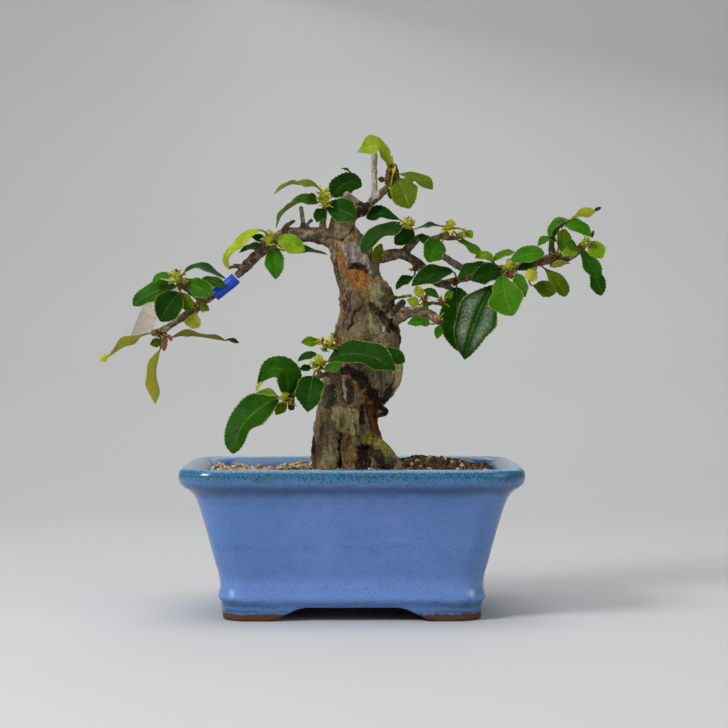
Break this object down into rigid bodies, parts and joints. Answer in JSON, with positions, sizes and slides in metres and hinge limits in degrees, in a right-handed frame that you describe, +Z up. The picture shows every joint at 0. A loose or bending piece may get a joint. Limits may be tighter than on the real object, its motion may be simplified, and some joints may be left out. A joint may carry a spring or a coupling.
{
  "type": "chinese quince bonsai in a glazed pot",
  "caption": "Small bonsai tree with a stout flaking trunk, spreading branches and toothed oval leaves, planted in a rectangular blue glazed pot that stands on corner feet.",
  "frame": {"origin": "middle of the plane that the pot feet stand on, under the middle of the whole tree and pot", "axes": "+Z up, +X to the right of the front of the tree along the long side of the pot, +Y towards the back of the tree"},
  "size_m": [0.2075, 0.1084, 0.1979],
  "materials": {
    "glaze": "glossy blue glaze, darker and speckled on the rim and along the foot",
    "soil": "dry clay and pumice grains, cream to dark brown",
    "bark": "mottled grey-green to orange-brown flaking bark",
    "leaf": "dark green leathery leaves with pale veins and toothed margins",
    "young_leaf": "yellow-green young leaves and bud bracts",
    "label": "bright blue plastic tape",
    "label_paper": "off-white plastic strip",
    "screen": "black plastic mesh"
  },
  "bodies": {
    "root": {"pot": "glaze", "drain_screen_left": "screen", "drain_screen_right": "screen", "soil": "soil", "wood": "bark", "label_band": "label", "label_tail": "label_paper", "leaves_left_tip": "leaf", "bud_left_spur": "young_leaf", "leaves_left_spur": "leaf", "leaves_left_low": "leaf", "bud_left_crown": "young_leaf", "leaves_left_crown": "leaf", "bud_crown_left": "young_leaf", "leaves_crown_left": "leaf", "leaves_crown_top": "leaf", "bud_mid_right": "young_leaf", "leaves_mid_right": "leaf", "bud_right_upper": "young_leaf", "leaves_right_upper": "leaf", "leaves_right_inner": "leaf", "bud_right_centre": "young_leaf", "leaves_right_centre": "leaf", "leaves_right_mid": "leaf", "leaves_right_outer": "leaf", "leaves_right_high": "leaf", "bud_right_end": "young_leaf", "leaves_right_end": "leaf", "leaves_trunk_fork": "leaf", "leaves_low_shoot": "young_leaf", "leaves_low_twig": "leaf", "leaves_low_end": "leaf", "bud_front_left": "young_leaf", "leaves_front_left": "leaf", "bud_front_trunk": "young_leaf", "leaves_front_trunk": "leaf", "leaves_trunk_bud": "young_leaf", "leaves_trunk_shoot": "young_leaf", "leaves_back_right": "leaf", "leaves_back_trunk": "leaf", "leaves_back_left": "leaf", "leaves_back_top": "leaf", "leaves_back_far_left": "leaf"}
  },
  "joints": []
}
